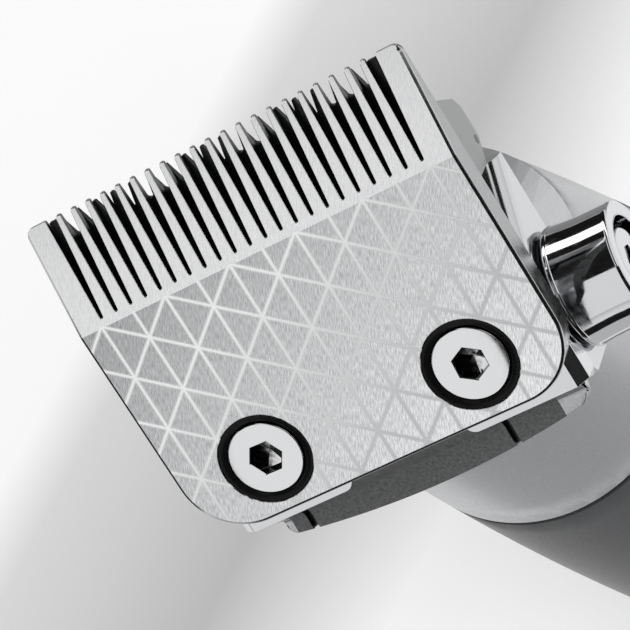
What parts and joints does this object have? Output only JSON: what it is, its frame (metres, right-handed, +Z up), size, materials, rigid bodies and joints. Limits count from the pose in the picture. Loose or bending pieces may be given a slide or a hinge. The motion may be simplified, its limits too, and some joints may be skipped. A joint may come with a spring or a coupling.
{
  "type": "beard trimmer",
  "caption": "Cordless beard trimmer with a sloped steel comb and cutter, a side lever that slides the comb, and a round upright handle with a swing motor inside.",
  "frame": {"origin": "centre of the flat tail, on the axis of the round handle and of the charging socket", "axes": "+Z up along the handle axis; the comb face looks towards -Y and upwards; the taper lever is on the +X side"},
  "size_m": [0.0522, 0.0467, 0.1721],
  "materials": {
    "brushed_comb_steel": "brushed along the teeth, etched line lattice",
    "black_oxide_steel": "glossy black",
    "polished_screw_steel": "polished",
    "cutter_steel": "ground, dark",
    "chrome_plate": "mirror",
    "satin_head_metal": "satin",
    "dark_insert_plastic": "fine grain",
    "grey_nose_plastic": "matt",
    "silver_shell_paint": "satin silver",
    "dark_grip_plastic": "fine matt",
    "black_rubber": "matt",
    "inner_black_plastic": "moulded",
    "bronze": "sintered",
    "spring_steel": "rolled",
    "zinc_steel": "zinc plated",
    "copper_wire": "enamelled",
    "magnet_grey": "nickel plated",
    "cell_wrap": "shrink film",
    "board_green": "solder mask",
    "chip_black": "moulded",
    "ivory_plastic": "moulded",
    "clear_plastic": "clear",
    "gold_contact": "gold plated",
    "lead_insulation": "insulation"
  },
  "bodies": {
    "housing": {"tension_springs": "spring_steel", "head_frame": "satin_head_metal", "guide_pins": "zinc_steel", "head_screws": "zinc_steel", "chin_insert": "dark_insert_plastic", "nose_cover": "grey_nose_plastic", "nose_screws": "black_oxide_steel", "lever_bush": "bronze", "lever_washer": "inner_black_plastic", "neck_shell": "silver_shell_paint", "front_barrel": "silver_shell_paint", "barrel_seal": "black_rubber", "grip_sleeve": "dark_grip_plastic", "tail_cap": "silver_shell_paint", "tail_screws": "black_oxide_steel", "charging_socket": "inner_black_plastic", "charge_contacts": "gold_contact", "chassis": "inner_black_plastic", "motor_can": "zinc_steel", "motor_end_plate": "zinc_steel", "motor_screws": "zinc_steel", "stator_core": "magnet_grey", "stator_windings": "copper_wire", "rear_bearing": "zinc_steel", "front_bearing": "zinc_steel", "battery_cell": "cell_wrap", "battery_tabs": "spring_steel", "battery_leads": "lead_insulation", "circuit_board": "board_green", "board_components": "chip_black", "tact_switch": "chip_black", "button_bezel": "chrome_plate", "status_led": "ivory_plastic", "light_pipe": "clear_plastic", "motor_leads": "lead_insulation"},
    "comb": {"comb_blade": "brushed_comb_steel", "cup_rings": "black_oxide_steel", "blade_screws": "polished_screw_steel", "taper_plate": "chrome_plate"},
    "cutter": {"cutter_blade": "cutter_steel", "cutter_carrier": "inner_black_plastic", "carrier_pins": "zinc_steel"},
    "lever": {"taper_lever": "chrome_plate", "lever_shaft": "zinc_steel", "lever_screw": "polished_screw_steel"},
    "rotor": {"rotor_magnet": "magnet_grey", "rotor_shaft": "zinc_steel", "drive_crank": "zinc_steel", "crank_pin": "zinc_steel"},
    "button": {"power_button": "silver_shell_paint", "switch_plunger": "ivory_plastic"}
  },
  "joints": [
    {"name": "comb_slide", "type": "slide", "parent": "housing", "child": "comb", "axis": [0, 0.7314, 0.682], "range_m": [0, 0.00157]},
    {"name": "lever_turn", "type": "hinge", "parent": "housing", "child": "lever", "pos_m": [0, -0.01162, 0.14102], "axis": [-1, 0, 0], "range_deg": [0, 40.1]},
    {"name": "rotor_swing", "type": "hinge", "parent": "housing", "child": "rotor", "pos_m": [0, 0, 0.1], "axis": [0, 0, 1], "range_deg": [-11.5, 11.5], "stiffness_Nm_per_rad": 0.05},
    {"name": "cutter_slide", "type": "slide", "parent": "housing", "child": "cutter", "axis": [1, 0, 0], "range_m": [-0.00121, 0.00121]},
    {"name": "button_press", "type": "slide", "parent": "housing", "child": "button", "axis": [0, -1, 0], "range_m": [0, 0.0006], "stiffness_N_per_m": 2500}
  ],
  "couplings": [
    {"joint": "lever_turn", "follows": "comb_slide", "rad_per_m": 443.74},
    {"joint": "cutter_slide", "follows": "rotor_swing", "m_per_rad": 0.006}
  ]
}
